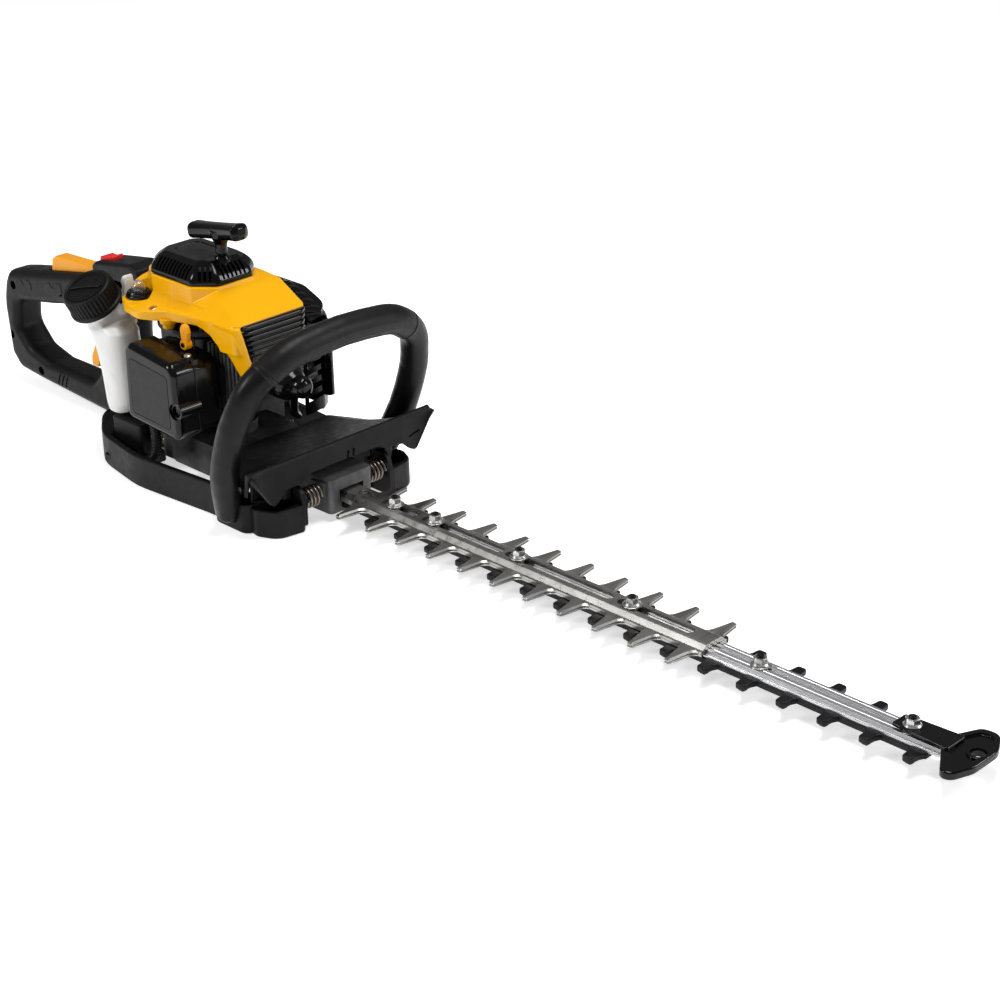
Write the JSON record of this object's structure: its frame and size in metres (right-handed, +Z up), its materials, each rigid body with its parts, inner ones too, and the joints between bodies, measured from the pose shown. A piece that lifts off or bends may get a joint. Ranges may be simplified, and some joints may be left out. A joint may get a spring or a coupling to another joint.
{
  "type": "petrol hedge trimmer",
  "caption": "Petrol hedge trimmer with a vertical-crank engine, looped front handle, rear D-handle, hand shield and a double-sided reciprocating cutter with a blunt guard comb.",
  "frame": {"origin": "middle of the overall box, on the ground that the frame stands on", "axes": "+X towards the tip of the cutter, +Y to the muffler side, +Z up"},
  "size_m": [1.092, 0.222, 0.2222],
  "materials": {
    "steel_blade": "ground steel",
    "aluminium": "extruded and die-cast aluminium",
    "black_steel": "black oxide and paint",
    "zinc_steel": "bright zinc plate",
    "gear_steel": "hardened steel",
    "spring_steel": "oiled spring wire",
    "cast_alloy": "die-cast alloy",
    "black_gloss_plastic": "polished black moulding",
    "black_matte_plastic": "textured black moulding",
    "clutch_lining": "sintered shoes",
    "yellow_gloss_plastic": "glossy yellow moulding",
    "yellow_lever_plastic": "satin yellow moulding",
    "red_plastic": "red rocker",
    "tank_plastic": "translucent white blow moulding",
    "clear_bulb": "clear soft bulb",
    "handle_foam": "soft ribbed sleeve",
    "handle_tube_black": "black coated tube",
    "rubber": "black rubber",
    "filter_foam": "open foam",
    "muffler_steel": "heat-proof black paint",
    "plug_ceramic": "glazed ceramic",
    "screw_black": "black screws",
    "rope": "braided cord"
  },
  "bodies": {
    "chassis": {"air_box_base": "black_matte_plastic", "air_box_cover": "black_gloss_plastic", "air_filter": "filter_foam", "av_springs": "spring_steel", "bearings": "gear_steel", "blade_bolts": "black_steel", "blade_nuts": "zinc_steel", "blade_spacers": "zinc_steel", "carburettor": "cast_alloy", "chassis": "black_matte_plastic", "clutch_housing": "black_matte_plastic", "comb_guard": "black_steel", "connecting_rod": "gear_steel", "crankcase": "cast_alloy", "cylinder": "cast_alloy", "engine_cover": "yellow_gloss_plastic", "front_grille": "black_gloss_plastic", "front_grip": "handle_foam", "front_handle": "handle_tube_black", "fuel_lines": "rubber", "fuel_tank": "tank_plastic", "gearcase_lower": "aluminium", "gearcase_screws": "zinc_steel", "gearcase_upper": "aluminium", "guide_bar": "aluminium", "hand_shield": "black_matte_plastic", "handle_pins": "gear_steel", "handle_screws": "screw_black", "ignition_coil": "black_matte_plastic", "intake_insulator": "black_matte_plastic", "muffler": "muffler_steel", "muffler_cover": "black_gloss_plastic", "piston": "cast_alloy", "primer_ring": "black_matte_plastic", "rear_handle_far": "black_matte_plastic", "rear_handle_near": "black_matte_plastic", "recoil_spring": "spring_steel", "spark_plug": "plug_ceramic", "spark_plug_boot": "rubber", "spring_seats": "black_matte_plastic", "starter_cover": "black_gloss_plastic", "starter_rope": "rope", "switch_housing": "black_matte_plastic", "throttle_conduit": "rubber", "tip_guard": "black_gloss_plastic"},
    "upper_blade": {"upper_blade": "steel_blade"},
    "lower_blade": {"lower_blade": "steel_blade"},
    "drive_gear": {"drive_gear": "gear_steel"},
    "clutch_drum": {"clutch_drum": "gear_steel"},
    "crank": {"crankshaft": "gear_steel", "flywheel": "cast_alloy", "clutch_shoes": "clutch_lining"},
    "starter_reel": {"starter_reel": "black_matte_plastic"},
    "starter_handle": {"starter_handle": "black_gloss_plastic"},
    "fuel_cap": {"fuel_cap": "black_matte_plastic"},
    "primer_bulb": {"primer_bulb": "clear_bulb"},
    "choke_lever": {"choke_lever": "yellow_lever_plastic"},
    "throttle_trigger": {"throttle_trigger": "yellow_lever_plastic"},
    "throttle_lockout": {"throttle_lockout": "yellow_lever_plastic"},
    "stop_switch": {"stop_switch": "red_plastic"}
  },
  "joints": [
    {"name": "blade_drive_turn", "type": "hinge", "parent": "chassis", "child": "drive_gear", "pos_m": [-0.21625, 0, 0.03], "axis": [0, 0, 1], "range_deg": [-90, 90]},
    {"name": "pinion_turn", "type": "hinge", "parent": "chassis", "child": "clutch_drum", "pos_m": [-0.25, 0, 0.03], "axis": [0, 0, 1], "range_deg": [-398, 398]},
    {"name": "upper_blade_slide", "type": "slide", "parent": "chassis", "child": "upper_blade", "axis": [1, 0, 0], "range_m": [-0.00876, 0.00876]},
    {"name": "lower_blade_slide", "type": "slide", "parent": "chassis", "child": "lower_blade", "axis": [1, 0, 0], "range_m": [-0.00876, 0.00876]},
    {"name": "crank_turn", "type": "hinge", "parent": "chassis", "child": "crank", "pos_m": [-0.25, 0, 0.098], "axis": [0, 0, 1], "continuous": true},
    {"name": "starter_pull", "type": "slide", "parent": "chassis", "child": "starter_handle", "axis": [0, 0, 1], "range_m": [0, 0.65], "stiffness_N_per_m": 8, "springref_m": -0.3, "deforming": ["starter_rope"]},
    {"name": "starter_reel_turn", "type": "hinge", "parent": "chassis", "child": "starter_reel", "pos_m": [-0.25, 0, 0.17], "axis": [0, 0, 1], "range_deg": [-5, 1820]},
    {"name": "fuel_cap_turn", "type": "hinge", "parent": "chassis", "child": "fuel_cap", "pos_m": [-0.322, -0.062, 0.142], "axis": [0, -0.4699, 0.8827], "range_deg": [0, 450]},
    {"name": "primer_press", "type": "slide", "parent": "chassis", "child": "primer_bulb", "axis": [0, 0, -1], "range_m": [0, 0.006], "stiffness_N_per_m": 600},
    {"name": "choke_turn", "type": "hinge", "parent": "chassis", "child": "choke_lever", "pos_m": [-0.208, -0.0544, 0.131], "axis": [0, -1, 0], "range_deg": [0, 75]},
    {"name": "throttle_squeeze", "type": "hinge", "parent": "chassis", "child": "throttle_trigger", "pos_m": [-0.386, 0, 0.11], "axis": [0, 1, 0], "range_deg": [0, 18], "stiffness_Nm_per_rad": 0.8},
    {"name": "lockout_press", "type": "hinge", "parent": "chassis", "child": "throttle_lockout", "pos_m": [-0.402, 0, 0.128], "axis": [0, -1, 0], "range_deg": [0, 5], "stiffness_Nm_per_rad": 3},
    {"name": "stop_switch_rock", "type": "hinge", "parent": "chassis", "child": "stop_switch", "pos_m": [-0.382, 0, 0.1503], "axis": [0, 1, 0], "range_deg": [0, 12]}
  ],
  "couplings": [
    {"joint": "pinion_turn", "follows": "blade_drive_turn", "ratio": -4.4},
    {"joint": "upper_blade_slide", "follows": "blade_drive_turn", "m_per_rad": -0.0055704},
    {"joint": "lower_blade_slide", "follows": "blade_drive_turn", "m_per_rad": 0.0055704},
    {"joint": "starter_reel_turn", "follows": "starter_pull", "rad_per_m": 48.78}
  ]
}
